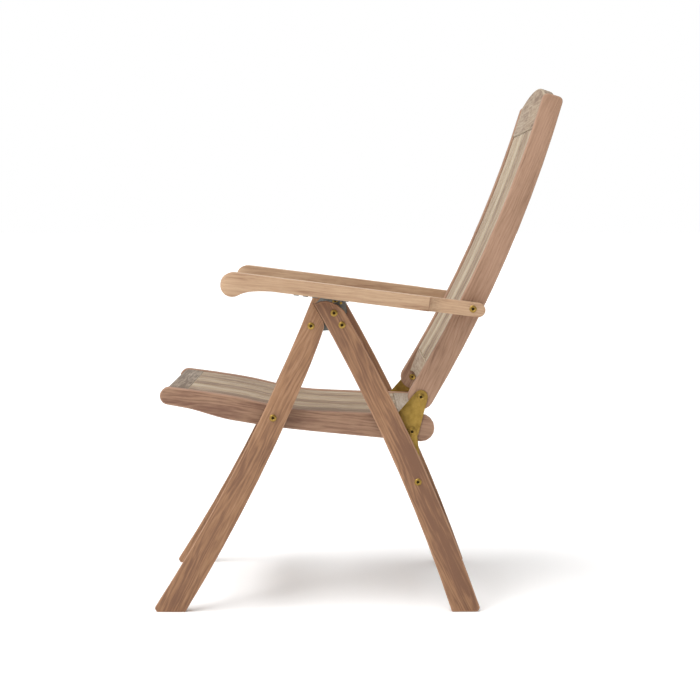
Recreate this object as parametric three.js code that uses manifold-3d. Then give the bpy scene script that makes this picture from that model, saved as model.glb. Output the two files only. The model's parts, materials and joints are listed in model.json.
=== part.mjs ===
// Reclining folding armchair in teak, with brass seat fittings and zinc-plated leg hinges.
// Millimetres, +Z up. The chair faces -Y, and the sitter's left is +X. The origin is on the
// floor, under the middle of the chair's plan. Everything is drawn in its opened, upright pose.
import * as THREE from 'three';
import { mergeVertices } from 'three/addons/utils/BufferGeometryUtils.js';
import Module from 'manifold-3d';

const wasm = await Module();
wasm.setup();

// ---- Driving dimensions ----
const deg = THREE.MathUtils.degToRad;

// Pivots, as [y, z] points of the side view.
const LEG_PIVOT = [-96.0, 594.9];
const SEAT_PIVOT = [-174.6, 405.1];
const STRAP_TOP_PIVOT = [113.1, 373.2];
const STRAP_FOOT_PIVOT = [124.6, 272.0];
const BACK_PIVOT = [131.6, 445.4];
const ARM_PIVOT = [236.5, 629.8];
const RACK_STUD = [-34.4, 641.5];
const HINGE_BOLTS = { upper: [-48.8, 621.6], lower: [-32.3, 597.0] };

// Layers across the chair, measured outwards from its middle plane.
const RAIL_INNER = 227.5;
const RAIL_OUTER = 252.5;
const LEG_INNER = 262.5;
const LEG_OUTER = 287.5;
const BRACKET_LAYER = [252.8, 255.4];
const STRAP_LAYER = [256.0, 258.6];
const HINGE_PLATE_LAYER = [259.3, 262.2];
const ARM_INNER = 255.5;
const ARM_OUTER = 313.5;
const GAP = 0.3;

// Bowed members: each follows one circular arc.
const LEG_BOW_RADIUS = 3560;
const FRONT_LEG = { y: -90.7, z: 594.9, heading: deg(180 + 21.5), bend: 1 / LEG_BOW_RADIUS };
const REAR_LEG = { y: -32.1, z: 585, heading: deg(180 - 29), bend: 1 / LEG_BOW_RADIUS };
const BACK = { y: BACK_PIVOT[0], z: BACK_PIVOT[1], heading: deg(31), bend: -1 / 2650 };
const LEG_WIDTH_TOP = 47;
const LEG_WIDTH_FOOT = 58;
const LEG_LENGTH = 650;
const LEG_SWING = deg(49);
const SWING_STEPS = 7;
const STILE_WIDTH_FOOT = 54;
const STILE_WIDTH_TOP = 42;
const STILE_LENGTH = 682;

// Seat: the upper edge of its rails in the side view, from the front nose to the rear.
const SEAT_TOP = [[-393, 465.5], [-319, 455.5], [-244, 443], [-140, 420.5], [-19, 412.5], [132, 408.3]];
const SEAT_BOTTOM = [[-393, 428.5], [-344, 419], [-288, 402.5], [-244, 393.5], [-154, 380], [-19, 366],
  [132, 351.7]];
const SEAT_NOSE_RADIUS = 18.5;
const SEAT_TAIL_RADIUS = 28.3;
const SLAT_COUNT = 6;
const SEAT_SLAT = { width: 64, thickness: 12, front: -356, rear: 86 };
const BACK_SLAT = { width: 58, thickness: 10, recess: 4, foot: 66, top: 607 };
const LOWER_RAIL = { foot: 10, top: 64, tilt: deg(10), thickness: 20, rise: 10 };
const CREST = { side: 680, middle: 706, thickness: 25, recess: 1.5 };

// Arm, in its own frame: origin on its pivot, y backwards along the arm, z square to its top.
const ARM_SLOPE = deg(7.2);
const ARM_TOP = 13.5;
const ARM_UNDERSIDE = -15.5;
const ARM_NOSE = { y: -495, radius: 25 };
const ARM_TAIL_END = 26;
const TONGUE_OUTER = LEG_OUTER;
const RACK = { tip: -18.9, top: -6, inner: 263.6, outer: 276.4, notch: 4.2 };
const NOTCH_COUNT = 5;
const RECLINE_TRAVEL = deg(28);

// Fasteners
const SHANK_RADIUS = 4;
const HOLE_RADIUS = 4.6;
const HEAD_RADIUS = 7.5;
const HEAD_THICKNESS = 2.4;
const STUD_RADIUS = 3;

const SIDES = [{ side: 'left', sign: 1 }, { side: 'right', sign: -1 }];

// ---- Materials ----
function finish(color, roughness, metalness = 0) {
  return new THREE.MeshStandardMaterial({ color, roughness, metalness });
}
const LEG_TEAK = finish('#a37c60', 0.62);
const STILE_TEAK = finish('#b08b75', 0.62);
const ARM_TEAK = finish('#be9670', 0.58);
const SLAT_TEAK = finish('#baaa8e', 0.66);
const CROSS_RAIL_TEAK = finish('#a59687', 0.66);
const BRASS = finish('#a0873c', 0.35, 1);
const ZINC = finish('#8f8f8a', 0.42, 1);

// ---- Geometry helpers ----

// Extrudes a side-view outline (its x is the chair's Y, its y the chair's Z) between two layers.
const SIDE_VIEW = new THREE.Matrix4().makeBasis(
  new THREE.Vector3(0, 1, 0),
  new THREE.Vector3(0, 0, 1),
  new THREE.Vector3(1, 0, 0),
);
function board(outline, inner, outer, sign = 1, curveSegments = 5) {
  const depth = outer - inner;
  const geometry = new THREE.ExtrudeGeometry(outline, { depth, bevelEnabled: false, curveSegments });
  geometry.applyMatrix4(SIDE_VIEW);
  geometry.translate(sign > 0 ? inner : -outer, 0, 0);
  return geometry;
}

// The same outline right across the chair, from one side to the other.
function crossBoard(outline, half, curveSegments = 5) {
  return board(outline, -half, half, 1, curveSegments);
}

function toSolid(geometry) {
  const bare = geometry.clone();
  bare.deleteAttribute('normal');
  bare.deleteAttribute('uv');
  const merged = mergeVertices(bare, 1e-4);
  return new wasm.Manifold(new wasm.Mesh({
    numProp: 3,
    vertProperties: new Float32Array(merged.attributes.position.array),
    triVerts: new Uint32Array(merged.index.array),
  }));
}

function toGeometry(solid) {
  const { vertProperties, triVerts } = solid.getMesh();
  const geometry = new THREE.BufferGeometry();
  geometry.setAttribute('position', new THREE.BufferAttribute(vertProperties, 3));
  geometry.setIndex(new THREE.BufferAttribute(triVerts, 1));
  geometry.computeVertexNormals();
  return geometry;
}

function drill(outline, [y, z], radius = HOLE_RADIUS) {
  const hole = new THREE.Path();
  hole.absarc(y, z, radius, 0, 2 * Math.PI, true);
  outline.holes.push(hole);
  return outline;
}

// A point on a bowed member: distance along its centre line, then square to it (to the right
// of the direction of travel).
function onBow(bow, distance, across = 0) {
  const heading = bow.heading + bow.bend * distance;
  const y = bow.y + (Math.cos(bow.heading) - Math.cos(heading)) / bow.bend;
  const z = bow.z + (Math.sin(heading) - Math.sin(bow.heading)) / bow.bend;
  return [y + across * Math.cos(heading), z - across * Math.sin(heading)];
}

// Points along one edge of a bowed member, where edge(distance) is its offset from the middle.
function bowEdge(bow, from, to, edge, steps = 9) {
  const points = [];
  for (let i = 0; i <= steps; i += 1) {
    const distance = from + ((to - from) * i) / steps;
    points.push(onBow(bow, distance, edge(distance)));
  }
  return points;
}

// How far along a bowed member its edge comes down to a given height.
function distanceToHeight(bow, height, edge) {
  let low = 0;
  let high = 900;
  for (let i = 0; i < 40; i += 1) {
    const middle = (low + high) / 2;
    if (onBow(bow, middle, edge(middle))[1] > height) {
      low = middle;
    } else {
      high = middle;
    }
  }
  return low;
}

function lineThrough(outline, points) {
  points.forEach(([y, z]) => outline.lineTo(y, z));
  return outline;
}

// A polygon with every corner rounded by the same radius.
function roundedPolygon(corners, radius) {
  const outline = new THREE.Shape();
  corners.forEach((corner, i) => {
    const here = new THREE.Vector2(...corner);
    const before = new THREE.Vector2(...corners.at(i - 1));
    const after = new THREE.Vector2(...corners[(i + 1) % corners.length]);
    const start = here.clone().add(before.sub(here).setLength(radius));
    const end = here.clone().add(after.sub(here).setLength(radius));
    if (i === 0) {
      outline.moveTo(start.x, start.y);
    } else {
      outline.lineTo(start.x, start.y);
    }
    outline.quadraticCurveTo(here.x, here.y, end.x, end.y);
  });
  outline.closePath();
  return outline;
}

// A plate wrapped round circles given anticlockwise, as [[y, z], radius].
function plateRound(circles) {
  const outline = new THREE.Shape();
  const normals = circles.map(([centre, radius], i) => {
    const [next, nextRadius] = circles[(i + 1) % circles.length];
    const along = new THREE.Vector2(next[0] - centre[0], next[1] - centre[1]);
    return along.angle() - Math.acos((radius - nextRadius) / along.length());
  });
  circles.forEach(([centre, radius], i) => {
    outline.absarc(centre[0], centre[1], radius, normals.at(i - 1), normals[i], false);
  });
  outline.closePath();
  return outline;
}

// A bolt across the chair: inner cap, shank and outer head with a driver socket. Distances
// run outwards from the middle plane. Without an inner cap the shank simply ends.
function bolt([y, z], sign, { shankFrom, headFrom, cap = true, headRadius = HEAD_RADIUS,
  headThickness = HEAD_THICKNESS }) {
  const profile = [];
  if (cap) {
    profile.push([0, shankFrom - 2.6], [6.2, shankFrom - 2.6], [7, shankFrom - 1.8], [7, shankFrom]);
  } else {
    profile.push([0, shankFrom]);
  }
  profile.push([SHANK_RADIUS, shankFrom], [SHANK_RADIUS, headFrom], [headRadius, headFrom]);
  const face = headFrom + headThickness;
  profile.push([headRadius, face - 1], [headRadius - 1, face], [2.6, face], [2.6, face - 1.8]);
  profile.push([0, face - 1.8]);
  const geometry = new THREE.LatheGeometry(profile.map((p) => new THREE.Vector2(...p)), 14);
  geometry.rotateZ((-sign * Math.PI) / 2);
  geometry.translate(0, y, z);
  return geometry;
}

// A plain washer or spacer round a bolt.
function spacer([y, z], sign, inner, outer, radius) {
  const ring = new THREE.Shape();
  ring.absarc(y, z, radius, 0, 2 * Math.PI, false);
  return board(drill(ring, [y, z]), inner, outer, sign, 7);
}

// ---- The chair ----
const chair = new THREE.Group();
function add(name, geometry, material, group = chair) {
  const mesh = new THREE.Mesh(geometry, material);
  mesh.name = name;
  group.add(mesh);
}

// ---- Legs ----
const legHalf = (distance) => (
  LEG_WIDTH_TOP + ((LEG_WIDTH_FOOT - LEG_WIDTH_TOP) * Math.max(distance, 0)) / LEG_LENGTH) / 2;

// Both edges of a leg, from a given start down to the floor; the toe corner is chamfered.
function legOutline(bow, frontStart, rearStart, toe, crown, grow = 0) {
  const front = (distance) => legHalf(distance) + grow;
  const rear = (distance) => -legHalf(distance) - grow;
  const chamfer = 8;
  const frontEnd = distanceToHeight(bow, toe === 'front' ? chamfer : 0, front);
  const rearEnd = distanceToHeight(bow, toe === 'rear' ? chamfer : 0, rear);
  const frontEdge = bowEdge(bow, frontStart, frontEnd, front);
  const rearEdge = bowEdge(bow, rearEnd, rearStart, rear);
  const outline = new THREE.Shape();
  outline.moveTo(...frontEdge[0]);
  lineThrough(outline, frontEdge.slice(1));
  if (toe === 'front') {
    outline.lineTo(frontEdge.at(-1)[0] + 5, 0);
  } else {
    outline.lineTo(rearEdge[0][0] - 5, 0);
  }
  lineThrough(outline, rearEdge);
  const control = onBow(bow, ...crown);
  outline.quadraticCurveTo(...control, ...frontEdge[0]);
  return outline;
}

const frontLegOutline = legOutline(FRONT_LEG, -30, -62, 'front', [-62, 16]);
const rearLegOutline = legOutline(REAR_LEG, -76, -34, 'rear', [-76, -12]);
const rearLegCutter = legOutline(REAR_LEG, -90, -40, 'rear', [-90, -12], 0.5);

function turnAbout(geometry, [y, z], angle) {
  return geometry.translate(0, -y, -z).rotateX(angle).translate(0, y, z);
}

function buildLegs() {
  drill(frontLegOutline, LEG_PIVOT);
  drill(frontLegOutline, SEAT_PIVOT);
  drill(rearLegOutline, HINGE_BOLTS.upper);
  drill(rearLegOutline, HINGE_BOLTS.lower);
  drill(rearLegOutline, STRAP_FOOT_PIVOT);
  for (const { side, sign } of SIDES) {
    // The front leg is cut back to butt against the rear leg, the stop of the opened chair, and
    // relieved all along the rear leg's swing.
    let frontLeg = toSolid(board(frontLegOutline, LEG_INNER, LEG_OUTER, sign));
    for (let step = 0; step <= SWING_STEPS; step += 1) {
      const cutter = board(rearLegCutter, LEG_INNER - 5, LEG_OUTER + 5, sign);
      turnAbout(cutter, LEG_PIVOT, (-LEG_SWING * step) / SWING_STEPS);
      frontLeg = frontLeg.subtract(toSolid(cutter));
    }
    add(`front_leg_${side}`, toGeometry(frontLeg), LEG_TEAK);
    add(`rear_leg_${side}`, board(rearLegOutline, LEG_INNER, LEG_OUTER, sign), LEG_TEAK);
  }
}

// A flat stretcher between two legs, lying in the leg's own depth.
function stretcherOutline(bow, distance, depth, thickness) {
  const halfDepth = depth / 2;
  const halfThickness = thickness / 2;
  return roundedPolygon([
    onBow(bow, distance - halfDepth, -halfThickness),
    onBow(bow, distance - halfDepth, halfThickness),
    onBow(bow, distance + halfDepth, halfThickness),
    onBow(bow, distance + halfDepth, -halfThickness),
  ], 4);
}

function buildStretchers() {
  const half = LEG_INNER - GAP;
  add('front_stretcher', crossBoard(stretcherOutline(FRONT_LEG, 455, 45, 20), half, 3), LEG_TEAK);
  add('rear_stretcher', crossBoard(stretcherOutline(REAR_LEG, 490, 45, 20), half, 3), LEG_TEAK);
}

// ---- Leg hinges: a zinc plate on each rear leg carries the leg pivot and the rack stud ----
function hingePlateOutline() {
  const ear = [RACK_STUD[0], RACK_STUD[1] - 3.2];
  const outline = plateRound([
    [LEG_PIVOT, 13],
    [HINGE_BOLTS.lower, 11],
    [ear, 6.4],
    [[-71.3, 627], 10],
  ]);
  drill(outline, LEG_PIVOT);
  drill(outline, HINGE_BOLTS.upper);
  drill(outline, HINGE_BOLTS.lower);
  return outline;
}

function buildLegHinges() {
  const [inner, outer] = HINGE_PLATE_LAYER;
  const through = { shankFrom: inner - GAP, headFrom: LEG_OUTER + GAP };
  for (const { side, sign } of SIDES) {
    add(`hinge_plate_${side}`, board(hingePlateOutline(), inner, outer, sign), ZINC);
    add(`leg_pivot_bolt_${side}`, bolt(LEG_PIVOT, sign, through), BRASS);
    add(`hinge_bolt_upper_${side}`, bolt(HINGE_BOLTS.upper, sign, through), BRASS);
    add(`hinge_bolt_lower_${side}`, bolt(HINGE_BOLTS.lower, sign, through), BRASS);
    const stud = new THREE.CylinderGeometry(STUD_RADIUS, STUD_RADIUS, 14, 12);
    stud.rotateZ(Math.PI / 2);
    stud.translate(sign * (outer + GAP + 7), ...RACK_STUD);
    add(`rack_stud_${side}`, stud, BRASS);
  }
}

// ---- Seat ----
const seatTopPoints = new THREE.SplineCurve(SEAT_TOP.map((p) => new THREE.Vector2(...p))).getPoints(60);
function seatTop(y) {
  const i = Math.max(1, seatTopPoints.findIndex((p) => p.x >= y));
  const before = seatTopPoints[i - 1];
  const after = seatTopPoints[i];
  return before.y + ((after.y - before.y) * (y - before.x)) / (after.x - before.x);
}

function seatRailOutline() {
  const toVectors = (points) => points.map((p) => new THREE.Vector2(...p));
  const [noseY, noseBottom] = SEAT_BOTTOM[0];
  const [tailY, tailBottom] = SEAT_BOTTOM.at(-1);
  const outline = new THREE.Shape();
  outline.moveTo(noseY, noseBottom);
  outline.splineThru(toVectors(SEAT_BOTTOM.slice(1)));
  outline.absarc(tailY, tailBottom + SEAT_TAIL_RADIUS, SEAT_TAIL_RADIUS, -Math.PI / 2, Math.PI / 2, false);
  outline.splineThru(toVectors(SEAT_TOP.slice(0, -1).reverse()));
  outline.absarc(noseY, noseBottom + SEAT_NOSE_RADIUS, SEAT_NOSE_RADIUS, Math.PI / 2, 1.5 * Math.PI, false);
  drill(outline, SEAT_PIVOT);
  drill(outline, STRAP_TOP_PIVOT);
  return outline;
}

// Middle of slat number i, for slats with even gaps between the rails.
function slatMiddle(i, width) {
  const gap = (2 * RAIL_INNER - SLAT_COUNT * width) / (SLAT_COUNT + 1);
  return RAIL_INNER - (i + 1) * gap - (i + 0.5) * width;
}

function seatSlatOutline() {
  const { thickness, front, rear } = SEAT_SLAT;
  const steps = 11;
  const top = [];
  for (let i = 0; i <= steps; i += 1) {
    const y = front + ((rear - front) * i) / steps;
    top.push([y, seatTop(y) - 1.5]);
  }
  const outline = new THREE.Shape();
  outline.moveTo(...top[0]);
  const underside = top.map(([y, z]) => [y, z - thickness]).reverse();
  lineThrough(outline, [...top.slice(1), ...underside]);
  outline.closePath();
  return outline;
}

function buildSeat() {
  const half = RAIL_INNER - GAP;
  for (const { side, sign } of SIDES) {
    add(`seat_rail_${side}`, board(seatRailOutline(), RAIL_INNER, RAIL_OUTER, sign, 4), STILE_TEAK);
  }

  // Front rail: a bull-nosed board that the slats butt against.
  const noseY = -390;
  const noseZ = 447.5;
  const noseRadius = 16;
  const front = new THREE.Shape();
  front.moveTo(SEAT_SLAT.front - GAP, 433);
  front.lineTo(SEAT_SLAT.front - GAP, seatTop(SEAT_SLAT.front) - 1.5);
  front.lineTo(noseY, noseZ + noseRadius);
  front.absarc(noseY, noseZ, noseRadius, Math.PI / 2, 1.5 * Math.PI, false);
  front.closePath();
  add('seat_front_rail', crossBoard(front, half), CROSS_RAIL_TEAK);

  const rearStart = SEAT_SLAT.rear + GAP;
  const rear = roundedPolygon([
    [rearStart, seatTop(rearStart) - 24],
    [rearStart + 44, seatTop(rearStart + 44) - 24],
    [rearStart + 44, seatTop(rearStart + 44) - 1],
    [rearStart, seatTop(rearStart) - 1],
  ], 3);
  add('seat_rear_rail', crossBoard(rear, half, 3), CROSS_RAIL_TEAK);

  // Bearer under the middle of the slats.
  const bearer = roundedPolygon([
    [-127, seatTop(-127) - 38],
    [-83, seatTop(-83) - 38],
    [-83, seatTop(-83) - 14.5],
    [-127, seatTop(-127) - 14.5],
  ], 3);
  add('seat_bearer', crossBoard(bearer, half, 3), CROSS_RAIL_TEAK);

  for (let i = 0; i < SLAT_COUNT; i += 1) {
    const middle = slatMiddle(i, SEAT_SLAT.width);
    const slat = board(seatSlatOutline(), -SEAT_SLAT.width / 2, SEAT_SLAT.width / 2);
    slat.translate(middle, 0, 0);
    add(`seat_slat_${i + 1}`, slat, SLAT_TEAK);
  }
}

// ---- Brass fittings between seat, back and rear legs ----
function buildSeatFittings() {
  const [bracketInner, bracketOuter] = BRACKET_LAYER;
  const [strapInner, strapOuter] = STRAP_LAYER;
  const railInside = RAIL_INNER - GAP;
  for (const { side, sign } of SIDES) {
    const bracket = plateRound([[STRAP_TOP_PIVOT, 14.3], [BACK_PIVOT, 14.3], [[72.7, 386], 9]]);
    drill(bracket, STRAP_TOP_PIVOT);
    drill(bracket, BACK_PIVOT);
    add(`seat_bracket_${side}`, board(bracket, bracketInner, bracketOuter, sign), BRASS);

    const strap = plateRound([[STRAP_FOOT_PIVOT, 10], [STRAP_TOP_PIVOT, 10]]);
    drill(strap, STRAP_FOOT_PIVOT);
    drill(strap, STRAP_TOP_PIVOT);
    add(`link_strap_${side}`, board(strap, strapInner, strapOuter, sign), BRASS);

    add(`seat_pivot_bolt_${side}`, bolt(SEAT_PIVOT, sign, {
      shankFrom: railInside,
      headFrom: LEG_OUTER + GAP,
    }), BRASS);
    add(`seat_pivot_spacer_${side}`,
      spacer(SEAT_PIVOT, sign, RAIL_OUTER + GAP, LEG_INNER - GAP, 11), BRASS);
    add(`strap_top_bolt_${side}`, bolt(STRAP_TOP_PIVOT, sign, {
      shankFrom: railInside,
      headFrom: strapOuter + GAP,
      headRadius: 9,
      headThickness: 3,
    }), BRASS);
    // The strap's foot pivot: this bolt stops short of the strap.
    add(`strap_foot_bolt_${side}`, bolt(STRAP_FOOT_PIVOT, sign, {
      shankFrom: strapOuter + 0.4,
      headFrom: LEG_OUTER + GAP,
      cap: false,
    }), BRASS);
    add(`back_pivot_bolt_${side}`, bolt(BACK_PIVOT, sign, {
      shankFrom: railInside,
      headFrom: bracketOuter + GAP,
      headThickness: 3.4,
    }), BRASS);
  }
}

// ---- Back ----
const stileHalf = (distance) => (
  STILE_WIDTH_FOOT + ((STILE_WIDTH_TOP - STILE_WIDTH_FOOT) * distance) / STILE_LENGTH) / 2;

function stileOutline() {
  const corner = 12;
  const shoulder = STILE_LENGTH - corner;
  const front = bowEdge(BACK, shoulder, 0, (distance) => -stileHalf(distance), 10);
  const rear = bowEdge(BACK, 0, shoulder, stileHalf, 10);
  const outline = new THREE.Shape();
  outline.moveTo(...front[0]);
  lineThrough(outline, front.slice(1));
  // The foot is a half round about the back pivot.
  outline.absarc(...BACK_PIVOT, stileHalf(0), Math.PI - BACK.heading, 2 * Math.PI - BACK.heading, false);
  lineThrough(outline, rear.slice(1));
  const rearCorner = onBow(BACK, STILE_LENGTH, stileHalf(STILE_LENGTH));
  const rearTop = onBow(BACK, STILE_LENGTH, stileHalf(STILE_LENGTH) - corner);
  const frontTop = onBow(BACK, STILE_LENGTH, corner - stileHalf(STILE_LENGTH));
  const frontCorner = onBow(BACK, STILE_LENGTH, -stileHalf(STILE_LENGTH));
  outline.quadraticCurveTo(...rearCorner, ...rearTop);
  outline.lineTo(...frontTop);
  outline.quadraticCurveTo(...frontCorner, ...front[0]);
  drill(outline, BACK_PIVOT);
  drill(outline, ARM_PIVOT);
  return outline;
}

function backSlatOutline() {
  const { thickness, recess, foot, top } = BACK_SLAT;
  const face = (distance) => -stileHalf(distance) + recess;
  const front = bowEdge(BACK, top, foot, face, 8);
  const rear = bowEdge(BACK, foot, top, (distance) => face(distance) + thickness, 8);
  const outline = new THREE.Shape();
  outline.moveTo(...front[0]);
  lineThrough(outline, [...front.slice(1), ...rear]);
  outline.closePath();
  return outline;
}

// A board drawn from the front (x across, y up its face) that stands between the stiles. foot is
// the front edge of its lower end in the side view; lean is its angle back from the vertical.
function standingBoard(face, thickness, foot, lean) {
  const slab = new THREE.ExtrudeGeometry(face, {
    depth: thickness,
    bevelEnabled: false,
    curveSegments: 10,
  });
  slab.translate(0, 0, -thickness);
  slab.applyMatrix4(new THREE.Matrix4().makeBasis(
    new THREE.Vector3(1, 0, 0),
    new THREE.Vector3(0, Math.sin(lean), Math.cos(lean)),
    new THREE.Vector3(0, -Math.cos(lean), Math.sin(lean)),
  ));
  return slab.translate(0, ...foot);
}

function buildBack() {
  const half = RAIL_INNER - GAP;
  for (const { side, sign } of SIDES) {
    add(`back_stile_${side}`, board(stileOutline(), RAIL_INNER, RAIL_OUTER, sign), STILE_TEAK);
  }

  // Lower rail: it leans back less than the stiles do, and its lower edge is arched.
  const railHeight = (LOWER_RAIL.top - LOWER_RAIL.foot) / Math.cos(LOWER_RAIL.tilt);
  const railFace = new THREE.Shape();
  railFace.moveTo(-half, 0);
  railFace.quadraticCurveTo(0, 2 * LOWER_RAIL.rise, half, 0);
  railFace.lineTo(half, railHeight);
  railFace.lineTo(-half, railHeight);
  railFace.closePath();
  const setBack = (LOWER_RAIL.top - LOWER_RAIL.foot) * Math.tan(LOWER_RAIL.tilt);
  const railFoot = onBow(BACK, LOWER_RAIL.foot, setBack + BACK_SLAT.recess - stileHalf(LOWER_RAIL.top));
  add('back_lower_rail', standingBoard(railFace, LOWER_RAIL.thickness, railFoot,
    BACK.heading - LOWER_RAIL.tilt), SLAT_TEAK);

  // Crest rail: its upper edge is arched, and its face is almost level with the stiles' edges.
  const crestFoot = BACK_SLAT.top + GAP;
  const crestFace = new THREE.Shape();
  crestFace.moveTo(-half, 0);
  crestFace.lineTo(half, 0);
  crestFace.lineTo(half, CREST.side - crestFoot);
  crestFace.quadraticCurveTo(0, 2 * CREST.middle - CREST.side - crestFoot, -half, CREST.side - crestFoot);
  crestFace.closePath();
  add('back_crest_rail', standingBoard(crestFace, CREST.thickness,
    onBow(BACK, crestFoot, CREST.recess - stileHalf(crestFoot)),
    BACK.heading + BACK.bend * crestFoot), SLAT_TEAK);

  for (let i = 0; i < SLAT_COUNT; i += 1) {
    const slat = board(backSlatOutline(), -BACK_SLAT.width / 2, BACK_SLAT.width / 2);
    slat.translate(slatMiddle(i, BACK_SLAT.width), 0, 0);
    add(`back_slat_${i + 1}`, slat, SLAT_TEAK);
  }
}

// ---- Arms ----
// Where the stud meets the arm when the back is leant further by an angle: its distance ahead
// of the arm pivot. The arm always rides on the stud at the same depth below its middle line.
function studDistance(recline) {
  const fromBackPivot = new THREE.Vector2(ARM_PIVOT[0] - BACK_PIVOT[0], ARM_PIVOT[1] - BACK_PIVOT[1]);
  const armPivot = fromBackPivot.rotateAround(new THREE.Vector2(), -recline);
  armPivot.add(new THREE.Vector2(...BACK_PIVOT));
  const reach = armPivot.distanceTo(new THREE.Vector2(...RACK_STUD));
  const toStud = new THREE.Vector2(RACK_STUD[0] - ARM_PIVOT[0], RACK_STUD[1] - ARM_PIVOT[1]);
  const depth = toStud.rotateAround(new THREE.Vector2(), ARM_SLOPE).y;
  return Math.sqrt(reach ** 2 - depth ** 2);
}

function armSideOutline() {
  const noseZ = ARM_TOP - ARM_NOSE.radius;
  const tailRadius = (ARM_TOP - ARM_UNDERSIDE) / 2;
  const outline = new THREE.Shape();
  outline.moveTo(ARM_TAIL_END - tailRadius, ARM_TOP);
  outline.lineTo(ARM_NOSE.y, ARM_TOP);
  outline.absarc(ARM_NOSE.y, noseZ, ARM_NOSE.radius, Math.PI / 2, deg(305), false);
  outline.bezierCurveTo(-466, -21, -448, ARM_UNDERSIDE - 3, -415, ARM_UNDERSIDE);
  outline.lineTo(ARM_TAIL_END - tailRadius, ARM_UNDERSIDE);
  outline.absarc(ARM_TAIL_END - tailRadius, ARM_TOP - tailRadius, tailRadius, -Math.PI / 2, Math.PI / 2, false);
  return drill(outline, [0, 0]);
}

// The arm from above (x across, y along): rounded at the front, scooped down to a tongue that
// stands just outside the back's stile.
function armPlanOutline(sign) {
  const front = ARM_NOSE.y - ARM_NOSE.radius - 1;
  const corner = 18;
  const outline = new THREE.Shape();
  outline.moveTo(sign * ARM_INNER, ARM_TAIL_END + 1);
  outline.lineTo(sign * ARM_INNER, front + corner);
  outline.quadraticCurveTo(sign * ARM_INNER, front, sign * (ARM_INNER + corner), front);
  outline.lineTo(sign * (ARM_OUTER - corner), front);
  outline.quadraticCurveTo(sign * ARM_OUTER, front, sign * ARM_OUTER, front + corner);
  outline.lineTo(sign * ARM_OUTER, -92);
  outline.quadraticCurveTo(sign * TONGUE_OUTER, -86, sign * TONGUE_OUTER, -58);
  outline.lineTo(sign * TONGUE_OUTER, ARM_TAIL_END + 1);
  outline.closePath();
  return outline;
}

function rackOutline() {
  const first = studDistance(0);
  const last = studDistance(RECLINE_TRAVEL);
  const outline = new THREE.Shape();
  outline.moveTo(-first + 15, RACK.tip);
  outline.lineTo(-first + 15, RACK.top);
  outline.lineTo(-last - 15, RACK.top);
  outline.lineTo(-last - 15, RACK.tip);
  for (let i = NOTCH_COUNT - 1; i >= 0; i -= 1) {
    const recline = (RECLINE_TRAVEL * i) / (NOTCH_COUNT - 1);
    outline.absarc(-studDistance(recline), RACK.tip, RACK.notch, Math.PI, 0, true);
  }
  outline.closePath();
  return outline;
}

function buildArms() {
  const armGroup = new THREE.Group();
  armGroup.position.set(0, ...ARM_PIVOT);
  armGroup.rotation.x = -ARM_SLOPE;
  chair.add(armGroup);

  const grooveFront = -studDistance(RECLINE_TRAVEL) - 15.5;
  const grooveRear = -studDistance(0) + 15.5;
  for (const { side, sign } of SIDES) {
    const blank = toSolid(board(armSideOutline(), ARM_INNER, ARM_OUTER, sign, 7));
    const plan = new THREE.ExtrudeGeometry(armPlanOutline(sign), {
      depth: 100,
      bevelEnabled: false,
      curveSegments: 6,
    });
    plan.translate(0, 0, -60);
    const groove = new THREE.BoxGeometry(
      RACK.outer - RACK.inner + 2 * GAP,
      grooveRear - grooveFront,
      RACK.top + GAP - ARM_UNDERSIDE + 5,
    );
    groove.translate(
      (sign * (RACK.inner + RACK.outer)) / 2,
      (grooveFront + grooveRear) / 2,
      (RACK.top + GAP + ARM_UNDERSIDE - 5) / 2,
    );
    const arm = blank.intersect(toSolid(plan)).subtract(toSolid(groove));
    add(`armrest_${side}`, toGeometry(arm), ARM_TEAK, armGroup);
    add(`arm_rack_${side}`, board(rackOutline(), RACK.inner, RACK.outer, sign, 5), ZINC, armGroup);
    add(`arm_washer_${side}`, spacer([0, 0], sign, RAIL_OUTER + GAP, ARM_INNER - GAP, 11), BRASS, armGroup);
    add(`arm_pivot_bolt_${side}`, bolt([0, 0], sign, {
      shankFrom: RAIL_INNER - GAP,
      headFrom: TONGUE_OUTER + GAP,
    }), BRASS, armGroup);
  }
}

buildLegs();
buildStretchers();
buildLegHinges();
buildSeat();
buildSeatFittings();
buildBack();
buildArms();

export default chair;
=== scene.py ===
"""A teak reclining folding armchair in a plain pale studio.

The CAD nodes give every place and size. The wooden ones are shown as copies with eased
edges, whose grain runs along each board; the bolts are rebuilt with socket heads.
"""
import json
import math
import random

import bmesh
import bpy
import numpy as np
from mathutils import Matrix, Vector


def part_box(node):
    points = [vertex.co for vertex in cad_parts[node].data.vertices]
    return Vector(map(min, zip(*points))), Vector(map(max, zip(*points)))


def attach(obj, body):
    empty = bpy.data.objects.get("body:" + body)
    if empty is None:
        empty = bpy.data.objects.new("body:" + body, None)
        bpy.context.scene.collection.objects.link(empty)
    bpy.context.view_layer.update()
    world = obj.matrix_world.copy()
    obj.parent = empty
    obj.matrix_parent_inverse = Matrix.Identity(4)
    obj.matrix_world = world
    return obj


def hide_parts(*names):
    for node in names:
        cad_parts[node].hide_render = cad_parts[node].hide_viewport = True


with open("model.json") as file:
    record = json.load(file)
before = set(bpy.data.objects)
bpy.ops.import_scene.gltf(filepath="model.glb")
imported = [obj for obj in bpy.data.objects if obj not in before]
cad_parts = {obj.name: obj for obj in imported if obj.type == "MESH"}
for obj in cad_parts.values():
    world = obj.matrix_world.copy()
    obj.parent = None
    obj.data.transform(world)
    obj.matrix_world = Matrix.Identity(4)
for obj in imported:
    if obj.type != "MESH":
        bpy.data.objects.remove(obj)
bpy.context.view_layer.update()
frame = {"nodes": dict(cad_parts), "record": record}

MM = 0.001
SIDES = (("left", 1), ("right", -1))
BODY_OF = {node: body
           for body, nodes in frame["record"]["behaviour"]["bodies"].items() for node in nodes}
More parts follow.
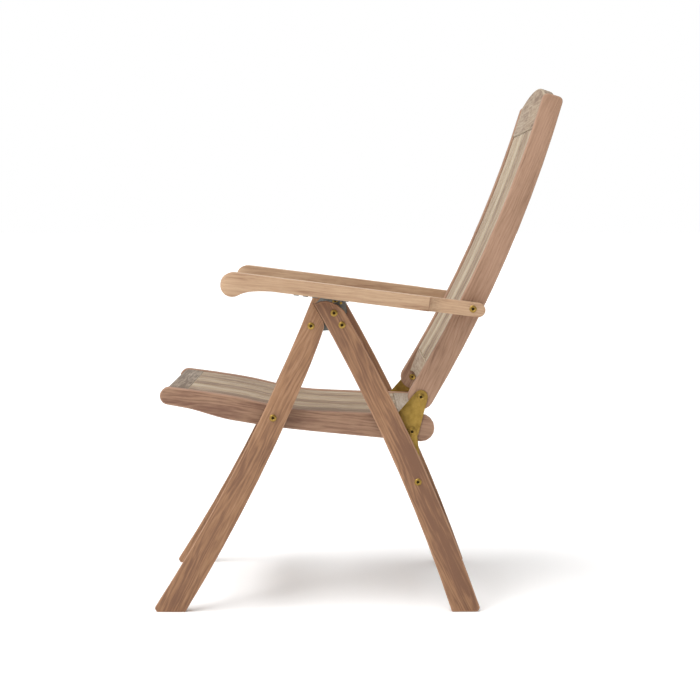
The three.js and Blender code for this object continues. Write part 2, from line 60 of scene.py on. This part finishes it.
SLOT_OF = {part["node"]: part["material_slot"] for part in frame["record"]["subparts"]}


# ---- Materials ----

def linear(hex_colour):
    """An sRGB hex colour as linear RGBA."""
    parts = [int(hex_colour[i:i + 2], 16) / 255 for i in (1, 3, 5)]
    return [c / 12.92 if c <= 0.04045 else ((c + 0.055) / 1.055) ** 2.4 for c in parts] + [1.0]


def add_node(tree, kind, inputs=None, **settings):
    """One shader node. inputs holds values, or sockets to link from."""
    made = tree.nodes.new(kind)
    for key, value in settings.items():
        setattr(made, key, value)
    for key, value in (inputs or {}).items():
        if isinstance(value, bpy.types.NodeSocket):
            tree.links.new(value, made.inputs[key])
        else:
            made.inputs[key].default_value = value
    return made


def new_material(name):
    material = bpy.data.materials.new(name)
    material.use_nodes = True
    tree = material.node_tree
    tree.nodes.clear()
    shader = add_node(tree, "ShaderNodeBsdfPrincipled")
    add_node(tree, "ShaderNodeOutputMaterial", {"Surface": shader.outputs["BSDF"]})
    return material, tree, shader


def set_ramp(ramp_node, stops):
    ramp = ramp_node.color_ramp
    while len(ramp.elements) > len(stops):
        ramp.elements.remove(ramp.elements[-1])
    while len(ramp.elements) < len(stops):
        ramp.elements.new(1.0)
    for element, (place, colour) in zip(ramp.elements, stops):
        element.position = place
        element.color = linear(colour) if isinstance(colour, str) else (colour, colour, colour, 1.0)


def stretched(tree, grain, along_mm, across_mm):
    """Grain coordinates scaled so that one unit is that many millimetres along and across."""
    scale = (1000 / along_mm, 1000 / across_mm, 1000 / across_mm)
    scaled = add_node(tree, "ShaderNodeVectorMath", {0: grain, 1: scale}, operation="MULTIPLY")
    return scaled.outputs[0]


BAND_SPACING = 7.0      # mm from one growth ring to the next
BAND_WANDER = 44.0      # mm that the slow noise moves the rings
WARMTH_WEIGHT = 0.22    # how far a board's own tone shifts it along the colour ramp
PORE_DARKNESS = 0.30
END_DARKNESS = 0.55
# How far the arrises are painted pale: partly sanded-through wood, partly painted highlight.
ARRIS_WEAR_AND_HIGHLIGHT = 0.55


def sanded_teak(name, pale, middle, dark, roughness=0.6):
    """Sanded bare teak: straight grain, soft growth bands, brown streaks, patches and open pores.

    Bare sanded wood has a broad, weak sheen. Its end grain drinks light and looks darker, and
    its arrises are painted paler: partly sanded-through wood, partly painted highlight.
    """
    material, tree, shader = new_material(name)
    grain = add_node(tree, "ShaderNodeAttribute", attribute_name="grain").outputs["Vector"]
    end_grain = add_node(tree, "ShaderNodeAttribute", attribute_name="end_grain").outputs["Fac"]
    arris = add_node(tree, "ShaderNodeAttribute", attribute_name="arris").outputs["Fac"]
    warmth = add_node(tree, "ShaderNodeAttribute", attribute_name="warmth").outputs["Fac"]

    # Growth bands: rings round a pith that lies outside the board, about 7 mm apart, bent by a
    # slow noise so that they run in long flames along the board.
    wander = add_node(tree, "ShaderNodeTexNoise", {
        "Vector": stretched(tree, grain, 190, 30), "Scale": 1.0, "Detail": 3.0, "Roughness": 0.5})
    flat = add_node(tree, "ShaderNodeVectorMath", {0: grain, 1: (0, 1000, 1000)},
                    operation="MULTIPLY")
    radius = add_node(tree, "ShaderNodeVectorMath", {0: flat.outputs[0]}, operation="LENGTH")
    shifted = add_node(tree, "ShaderNodeMath", {
        0: wander.outputs["Fac"], 1: BAND_WANDER, 2: radius.outputs["Value"]},
        operation="MULTIPLY_ADD")
    turns = add_node(tree, "ShaderNodeMath", {0: shifted.outputs[0], 1: 2 * math.pi / BAND_SPACING},
                     operation="MULTIPLY")
    wave = add_node(tree, "ShaderNodeMath", {0: turns.outputs[0]}, operation="SINE")
    bands = add_node(tree, "ShaderNodeMapRange", {
        "Value": wave.outputs[0], "From Min": -1.0, "From Max": 1.0})

    # Brown streaks 9 mm wide, fine ones drawn 2 mm wide (coarser than real ones, so that they
    # show), cloudy patches from handling and sun, and a slow change of tone along the board.
    layers = ((bands.outputs["Result"], 0.10),)
    for along, across, detail, weight in ((170, 9, 4.0, 0.40), (60, 2.0, 3.0, 0.36),
                                          (70, 30, 3.0, 0.30), (420, 90, 1.0, 0.50)):
        texture = add_node(tree, "ShaderNodeTexNoise", {
            "Vector": stretched(tree, grain, along, across), "Scale": 1.0, "Detail": detail,
            "Roughness": 0.6})
        layers += ((texture.outputs["Fac"], weight),)
    mixed = add_node(tree, "ShaderNodeMath", {0: warmth, 1: WARMTH_WEIGHT},
                     operation="MULTIPLY")
    for socket, weight in layers:
        mixed = add_node(tree, "ShaderNodeMath", {0: socket, 1: weight, 2: mixed.outputs[0]},
                         operation="MULTIPLY_ADD")
    colour = add_node(tree, "ShaderNodeValToRGB", {"Fac": mixed.outputs[0]})
    set_ramp(colour, [(0.62, pale), (0.84, middle), (1.0, dark)])

    # Pores: short dark dashes, 14 mm long and about 1 mm wide. They cut shallow into the surface.
    pores = add_node(tree, "ShaderNodeTexNoise", {
        "Vector": stretched(tree, grain, 14, 1.1), "Scale": 1.0, "Detail": 1.0, "Roughness": 0.4})
    pore_mask = add_node(tree, "ShaderNodeMapRange", {
        "Value": pores.outputs["Fac"], "From Min": 0.60, "From Max": 0.72,
        "To Max": PORE_DARKNESS})
    shown = colour.outputs["Color"]
    end_amount = add_node(tree, "ShaderNodeMath", {0: end_grain, 1: END_DARKNESS},
                          operation="MULTIPLY")
    # Painted highlight on the rounded arrises, partly sanded-through paler wood: bevel faces mix
    # towards the pale colour.
    arris_amount = add_node(tree, "ShaderNodeMath", {0: arris, 1: ARRIS_WEAR_AND_HIGHLIGHT},
                            operation="MULTIPLY")
    for amount, target in ((pore_mask.outputs["Result"], dark), (end_amount.outputs[0], dark),
                           (arris_amount.outputs[0], pale)):
        blend = add_node(tree, "ShaderNodeMix", {"Factor": amount, 6: shown, 7: linear(target)},
                         data_type="RGBA")
        shown = blend.outputs[2]
    tree.links.new(shown, shader.inputs["Base Color"])

    shine = add_node(tree, "ShaderNodeMapRange", {
        "Value": mixed.outputs[0], "From Min": 0.5, "From Max": 1.0,
        "To Min": roughness - 0.06, "To Max": roughness + 0.12})
    tree.links.new(shine.outputs["Result"], shader.inputs["Roughness"])
    relief = add_node(tree, "ShaderNodeMath", {
        0: pore_mask.outputs["Result"], 1: -1.5, 2: mixed.outputs[0]}, operation="MULTIPLY_ADD")
    bump = add_node(tree, "ShaderNodeBump", {
        "Height": relief.outputs[0], "Strength": 0.4, "Distance": 0.0004})
    tree.links.new(bump.outputs["Normal"], shader.inputs["Normal"])
    shader.inputs["IOR"].default_value = 1.5
    return material


TARNISH_SIZE = 18       # mm across one handling mark
# Painted shade: the near-black brown that bolt sockets and the walls of bolt heads are darkened
# towards, in place of the shade in the sockets and round the heads.
PAINTED_SHADE_COLOUR = "#1a140c"


def brushed_metal(name, bright, dull, roughness, brush_axis):
    """Sheet or bar metal rubbed one way: fine scratches that stretch the highlights, and painted
    shade, a near-black brown, where a face is marked for it.

    brush_axis holds the millimetres per scratch cell along X, Y and Z.
    """
    material, tree, shader = new_material(name)
    place = add_node(tree, "ShaderNodeTexCoord").outputs["Object"]
    scale = tuple(1000 / mm for mm in brush_axis)
    brushed = add_node(tree, "ShaderNodeVectorMath", {0: place, 1: scale}, operation="MULTIPLY")
    scratches = add_node(tree, "ShaderNodeTexNoise", {
        "Vector": brushed.outputs[0], "Scale": 1.0, "Detail": 3.0, "Roughness": 0.6})
    # Handling marks and tarnish.
    tarnish = add_node(tree, "ShaderNodeTexNoise", {
        "Vector": place, "Scale": 1000 / TARNISH_SIZE, "Detail": 4.0, "Roughness": 0.6})
    colour = add_node(tree, "ShaderNodeValToRGB", {"Fac": tarnish.outputs["Fac"]})
    set_ramp(colour, [(0.35, bright), (0.70, dull)])
    # Painted shade: faces marked in bolt sockets and along bolt walls are mixed towards the dark
    # colour.
    soil = add_node(tree, "ShaderNodeAttribute", attribute_name="soil").outputs["Fac"]
    shaded = add_node(tree, "ShaderNodeMix", {
        "Factor": soil, 6: colour.outputs["Color"], 7: linear(PAINTED_SHADE_COLOUR)}, data_type="RGBA")
    tree.links.new(shaded.outputs[2], shader.inputs["Base Color"])
    shine = add_node(tree, "ShaderNodeMapRange", {
        "Value": scratches.outputs["Fac"], "To Min": roughness - 0.12, "To Max": roughness + 0.18})
    tree.links.new(shine.outputs["Result"], shader.inputs["Roughness"])
    bump = add_node(tree, "ShaderNodeBump", {
        "Height": scratches.outputs["Fac"], "Strength": 0.12, "Distance": 0.0002})
    tree.links.new(bump.outputs["Normal"], shader.inputs["Normal"])
    shader.inputs["Metallic"].default_value = 1.0
    return material


MATERIALS = {
    "leg_teak": sanded_teak("sanded_teak_legs", "#ac8466", "#936c4c", "#73503a"),
    "frame_teak": sanded_teak("sanded_teak_frame", "#a48169", "#917058", "#704e3d"),
    "arm_teak": sanded_teak("sanded_teak_arms", "#bb9c7d", "#aa896b", "#8a674d", 0.56),
    "slat_teak": sanded_teak("sanded_teak_slats", "#aa9a81", "#95816a", "#725b46"),
    "cross_rail_teak": sanded_teak("sanded_teak_cross_rails", "#9f9180", "#887867", "#625140"),
    "brass": brushed_metal("brushed_brass", "#aa8b48", "#856b34", 0.36, (6, 0.5, 14)),
    "zinc_plate": brushed_metal("zinc_plated_steel", "#7b7b76", "#5c5b57", 0.45, (9, 1.2, 9)),
}


# ---- Boards ----

def node_middle(node):
    low, high = (Vector(corner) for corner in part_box(node))
    return (low + high) / 2


BOLTS = ("leg_pivot_bolt", "hinge_bolt_upper", "hinge_bolt_lower", "seat_pivot_bolt",
         "strap_top_bolt", "strap_foot_bolt", "back_pivot_bolt", "arm_pivot_bolt")
BORES = [node_middle(f"{bolt}_left") for bolt in BOLTS]
BORE_REACH = 7 * MM                 # edges this near a bore's axis stay sharp
WELD = 2e-6                         # metres
FLAT_WITHIN = math.radians(0.4)     # faces that meet flatter than this are one face
ARRIS_OVER = math.radians(50)       # edges that turn more than this are rounded
BOARD_SHARP_OVER = math.radians(32)


def near_bore(point):
    return any(math.hypot(point.y - bore.y, point.z - bore.z) < BORE_REACH for bore in BORES)


def eased_mesh(node, ease, segments=3):
    """The node's mesh with its triangles merged into the boards' faces and its arrises rounded.
    The new narrow faces are marked as arris."""
    work = bmesh.new()
    work.from_mesh(frame["nodes"][node].data)
    bmesh.ops.remove_doubles(work, verts=work.verts, dist=WELD)
    bmesh.ops.dissolve_limit(work, angle_limit=FLAT_WITHIN, verts=work.verts, edges=work.edges)
    arrises = []
    for edge in work.edges:
        if len(edge.link_faces) != 2 or edge.calc_face_angle(0) < ARRIS_OVER:
            continue
        if near_bore((edge.verts[0].co + edge.verts[1].co) / 2):
            continue
        arrises.append(edge)
    mark = work.faces.layers.float.new("arris")
    rounded = bmesh.ops.bevel(work, geom=arrises, offset=ease, offset_type="OFFSET",
                              segments=segments, profile=0.5, affect="EDGES", clamp_overlap=True,
                              material=-1)
    for face in rounded["faces"]:
        face[mark] = 1.0
    bmesh.ops.triangulate(work, faces=[face for face in work.faces if len(face.verts) > 4])
    mesh = bpy.data.meshes.new(node)
    work.to_mesh(mesh)
    work.free()
    mesh.polygons.foreach_set("use_smooth", [True] * len(mesh.polygons))
    mesh.set_sharp_from_angle(angle=BOARD_SHARP_OVER)
    return mesh


# How brown each kind of board was sorted, above or below the common tone.
BROWNER = {"seat_slat": 0.35, "back_crest_rail": -0.1, "back_lower_rail": -0.4}
# A face is end grain when it looks along the grain: from this cosine on, fully so a little later.
END_GRAIN_FROM = 0.8
END_GRAIN_FADE = 0.15


def lay_grain(mesh, seed):
    """Writes each point's place in the board (along the grain, then across it) and, for each
    face, how far it is cut across the grain and how brown its board is."""
    places = np.empty(len(mesh.vertices) * 3)
    mesh.vertices.foreach_get("co", places)
    places = places.reshape(-1, 3)
    low, high = places.min(axis=0), places.max(axis=0)
    longest = int(np.argmax(high - low))
    tenth = (high - low)[longest] / 10
    first = places[places[:, longest] < low[longest] + tenth].mean(axis=0)
    last = places[places[:, longest] > high[longest] - tenth].mean(axis=0)
    along = Vector(last - first).normalized()
    side = Vector((0, 0, 1)) if longest == 0 else Vector((1, 0, 0))
    across = along.cross(side).normalized()
    through = along.cross(across)
    turn = np.array([along, across, through])
    draw = random.Random(seed)
    # Each board is cut from its own place in the tree, off to one side of the pith.
    shift = np.array([draw.uniform(-3, 3), draw.uniform(0.02, 0.06), draw.uniform(0.015, 0.05)])
    grain = (places - places.mean(axis=0)) @ turn.T + shift
    grain_layer = mesh.attributes.new("grain", "FLOAT_VECTOR", "POINT")
    grain_layer.data.foreach_set("vector", grain.ravel())
    normals = np.empty(len(mesh.polygons) * 3)
    mesh.polygons.foreach_get("normal", normals)
    facing = np.abs(normals.reshape(-1, 3) @ np.array(along))
    cut = np.clip((facing - END_GRAIN_FROM) / END_GRAIN_FADE, 0, 1)
    mesh.attributes.new("end_grain", "FLOAT", "FACE").data.foreach_set("value", cut)
    sorting = sum(tone for stem, tone in BROWNER.items() if mesh.name.startswith(stem))
    warmth = np.full(len(mesh.polygons), sorting + draw.uniform(-0.5, 0.5))
    mesh.attributes.new("warmth", "FLOAT", "FACE").data.foreach_set("value", warmth)


def show_as(node, mesh, suffix):
    """Puts a finished mesh in a node's place: same body, same finish."""
    piece = bpy.data.objects.new(f"{node}_{suffix}", mesh)
    bpy.context.scene.collection.objects.link(piece)
    mesh.materials.clear()
    mesh.materials.append(MATERIALS[SLOT_OF[node]])
    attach(piece, BODY_OF[node])
    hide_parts(node)


def make_board(node, ease, seed):
    mesh = eased_mesh(node, ease)
    lay_grain(mesh, seed)
    show_as(node, mesh, "board")


# Millimetres that each kind of board's arrises are rounded over.
BOARD_EASES = {"armrest": 4.0, "front_leg": 2.6, "rear_leg": 2.6, "back_stile": 3.0,
               "seat_rail": 3.0, "front_stretcher": 1.5, "rear_stretcher": 1.5,
               "seat_front_rail": 2.0, "seat_rear_rail": 1.5, "seat_bearer": 1.0,
               "seat_slat": 2.0, "back_slat": 2.0, "back_lower_rail": 2.0,
               "back_crest_rail": 3.0}


def make_boards():
    for seed, node in enumerate(sorted(frame["nodes"])):
        for stem, ease in BOARD_EASES.items():
            if node.startswith(stem):
                make_board(node, ease * MM, seed)


# ---- Metal fittings ----

RING_POINTS = 24
# How dark the painted shade makes a bolt's socket and the wall of its head, from 0 to 1.
SOCKET_SHADE = 0.92
WALL_SHADE = 0.55
TURNED_SHARP_OVER = math.radians(28)


def ring(work, x, radius, corners=0):
    """Points round the X axis. With corners they lie on a polygon of that many sides, and radius
    is the distance to its flats."""
    made = []
    for step in range(RING_POINTS):
        angle = 2 * math.pi * step / RING_POINTS
        reach = radius
        if corners:
            wedge = 2 * math.pi / corners
            reach /= math.cos((angle + wedge / 2) % wedge - wedge / 2)
        made.append(work.verts.new((x, reach * math.cos(angle), reach * math.sin(angle))))
    return made


def turned_mesh(name, rings, sign, middle):
    """A closed turned piece through rings of (x, radius, corners), mirrored to its side.
    Faces in the sockets and along the walls are marked for painted shade."""
    work = bmesh.new()
    made = [ring(work, *place) for place in rings]
    soil = work.faces.layers.float.new("soil")
    for (low, low_place), (high, high_place) in zip(zip(made, rings), zip(made[1:], rings[1:])):
        in_socket = low_place[2] and high_place[2]
        on_wall = low_place[1] == high_place[1]
        for step in range(RING_POINTS):
            after = (step + 1) % RING_POINTS
            face = work.faces.new((low[step], low[after], high[after], high[step]))
            # Painted shade: socket faces are marked darkest, wall faces less.
            face[soil] = SOCKET_SHADE if in_socket else WALL_SHADE if on_wall else 0.0
    for end, place in ((made[0][::-1], rings[0]), (made[-1], rings[-1])):
        work.faces.new(end)[soil] = SOCKET_SHADE if place[2] else 0.0
    if sign < 0:
        bmesh.ops.scale(work, vec=(-1, 1, 1), verts=work.verts)
        bmesh.ops.reverse_faces(work, faces=work.faces)
    bmesh.ops.translate(work, vec=(0, middle.y, middle.z), verts=work.verts)
    if work.calc_volume(signed=True) < 0:
        bmesh.ops.reverse_faces(work, faces=work.faces)
    mesh = bpy.data.meshes.new(name)
    work.to_mesh(mesh)
    work.free()
    mesh.polygons.foreach_set("use_smooth", [True] * len(mesh.polygons))
    mesh.set_sharp_from_angle(angle=TURNED_SHARP_OVER)
    return mesh


# Bolts, in millimetres. Radii unless the name says otherwise; a socket's is half its width
# across flats.
HEAD_THICKNESS = {"back_pivot_bolt": 3.4, "strap_top_bolt": 3.0}
PLAIN_HEAD_THICKNESS = 2.4
SHANK = 4.0
CAP = 7.0
CAP_THICKNESS = 2.6
HEAD_SOCKET = 2.9
HEAD_SOCKET_DEPTH = 1.9
CAP_SOCKET = 2.4
CAP_SOCKET_DEPTH = 1.4
HEX = 6
ROUND = 0


def make_bolt(stem, side, sign):
    node = f"{stem}_{side}"
    low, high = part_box(node)
    middle = node_middle(node)
    inner, outer = sorted((abs(low[0]) / MM, abs(high[0]) / MM))
    radius = (high[1] - low[1]) / 2 / MM
    head = outer - HEAD_THICKNESS.get(stem, PLAIN_HEAD_THICKNESS)
    if stem == "strap_foot_bolt":
        # Its inner end is a bare shank with a chamfer.
        rings = [(inner, SHANK - 0.4, ROUND), (inner + 0.4, SHANK, ROUND)]
    else:
        # The others end in a domed cap with a socket.
        rings = [(inner + CAP_SOCKET_DEPTH, CAP_SOCKET, HEX), (inner + 0.3, CAP_SOCKET, HEX),
                 (inner, CAP_SOCKET + 0.4, ROUND), (inner, CAP - 1.4, ROUND),
                 (inner + 0.3, CAP - 0.5, ROUND), (inner + 0.9, CAP, ROUND),
                 (inner + CAP_THICKNESS, CAP, ROUND), (inner + CAP_THICKNESS, SHANK, ROUND)]
    rings.append((head, SHANK, ROUND))
    if stem == "strap_top_bolt":
        # A round washer, then a smaller domed head on it.
        rings += [(head, radius, ROUND), (head + 1.0, radius, ROUND),
                  (head + 1.3, radius - 0.4, ROUND), (head + 1.3, 6.9, ROUND),
                  (head + 2.2, 6.7, ROUND), (head + 2.8, 5.9, ROUND), (outer, 4.6, ROUND)]
    else:
        # A head whose rim falls away in three steps.
        rings += [(head, radius, ROUND), (outer - 1.3, radius, ROUND),
                  (outer - 0.8, radius - 0.5, ROUND), (outer - 0.3, radius - 1.6, ROUND),
                  (outer, radius - 2.6, ROUND)]
    rings += [(outer, HEAD_SOCKET + 0.7, ROUND), (outer - 0.4, HEAD_SOCKET, HEX),
              (outer - HEAD_SOCKET_DEPTH, HEAD_SOCKET, HEX)]
    scaled = [(x * MM, r * MM, corners) for x, r, corners in rings]
    show_as(node, turned_mesh(node, scaled, sign, middle), "socket")


# Millimetres that the other fittings' edges are rounded over.
METAL_EASES = {"seat_bracket": 0.5, "link_strap": 0.5, "hinge_plate": 0.5, "arm_rack": 0.5,
               "seat_pivot_spacer": 0.6, "arm_washer": 0.4, "rack_stud": 0.6}


def make_fittings():
    for side, sign in SIDES:
        for stem in BOLTS:
            make_bolt(stem, side, sign)
        for stem, ease in METAL_EASES.items():
            node = f"{stem}_{side}"
            show_as(node, eased_mesh(node, ease * MM, 2), "metal")


# ---- Studio ----

def make_surround():
    """A white surround behind the chair and a grey one in front of it, which the metal
    reflects."""
    world = bpy.data.worlds.new("studio")
    bpy.context.scene.world = world
    world.use_nodes = True
    tree = world.node_tree
    background = tree.nodes["Background"]
    direction = add_node(tree, "ShaderNodeTexCoord").outputs["Generated"]
    towards = add_node(tree, "ShaderNodeSeparateXYZ", {0: direction})
    surround = add_node(tree, "ShaderNodeValToRGB", {"Fac": towards.outputs["X"]})
    set_ramp(surround, [(0.0, 1.0), (0.75, 0.30)])
    tree.links.new(surround.outputs["Color"], background.inputs["Color"])
    background.inputs["Strength"].default_value = 1.0


def make_floor():
    """A matt white seamless floor, with nothing to catch the eye."""
    work = bmesh.new()
    bmesh.ops.create_grid(work, x_segments=1, y_segments=1, size=200)
    mesh = bpy.data.meshes.new("floor")
    work.to_mesh(mesh)
    work.free()
    floor = bpy.data.objects.new("floor", mesh)
    bpy.context.scene.collection.objects.link(floor)
    material, _, shader = new_material("pale_studio_floor")
    shader.inputs["Base Color"].default_value = linear("#fdfdfd")
    shader.inputs["Roughness"].default_value = 0.9
    mesh.materials.append(material)


LIT_POINT = Vector((0, 0, 0.5))


def make_lamp(name, kind, place, energy):
    """A lamp that looks at the middle of the chair."""
    light = bpy.data.lights.new(name, kind)
    light.energy = energy
    lamp = bpy.data.objects.new(name, light)
    lamp.location = place
    lamp.rotation_euler = (LIT_POINT - lamp.location).to_track_quat("-Z", "Y").to_euler()
    bpy.context.scene.collection.objects.link(lamp)
    return light


def make_lights():
    """A very wide lamp overhead gives soft shadows under the arms; a softbox beside the camera
    puts the bright spots on the bolt heads."""
    make_lamp("overhead", "SUN", (1.2, -1.4, 3.5), 2.3).angle = math.radians(50)
    softbox = make_lamp("softbox", "AREA", (3.0, -1.8, 2.3), 22)
    softbox.shape = "SQUARE"
    softbox.size = 1.0


EYE = (4.02, -0.0283, 0.8137)
LOOK_DOWN = math.radians(4.11)
LOOK_ASIDE = math.radians(-0.19)


def make_camera():
    """From the chair's left side, at backrest height, looking slightly down."""
    camera = bpy.data.cameras.new("camera")
    camera.lens = 93.65
    camera.sensor_width = 36
    camera.clip_end = 100
    eye = bpy.data.objects.new("camera", camera)
    eye.location = EYE
    level = math.cos(LOOK_DOWN)
    aim = Vector((-level * math.cos(LOOK_ASIDE), -level * math.sin(LOOK_ASIDE),
                  -math.sin(LOOK_DOWN)))
    eye.rotation_euler = aim.to_track_quat("-Z", "Y").to_euler()
    bpy.context.scene.collection.objects.link(eye)
    bpy.context.scene.camera = eye


bpy.context.scene.view_settings.view_transform = "Standard"
make_boards()
make_fittings()
make_surround()
make_floor()
make_lights()
make_camera()
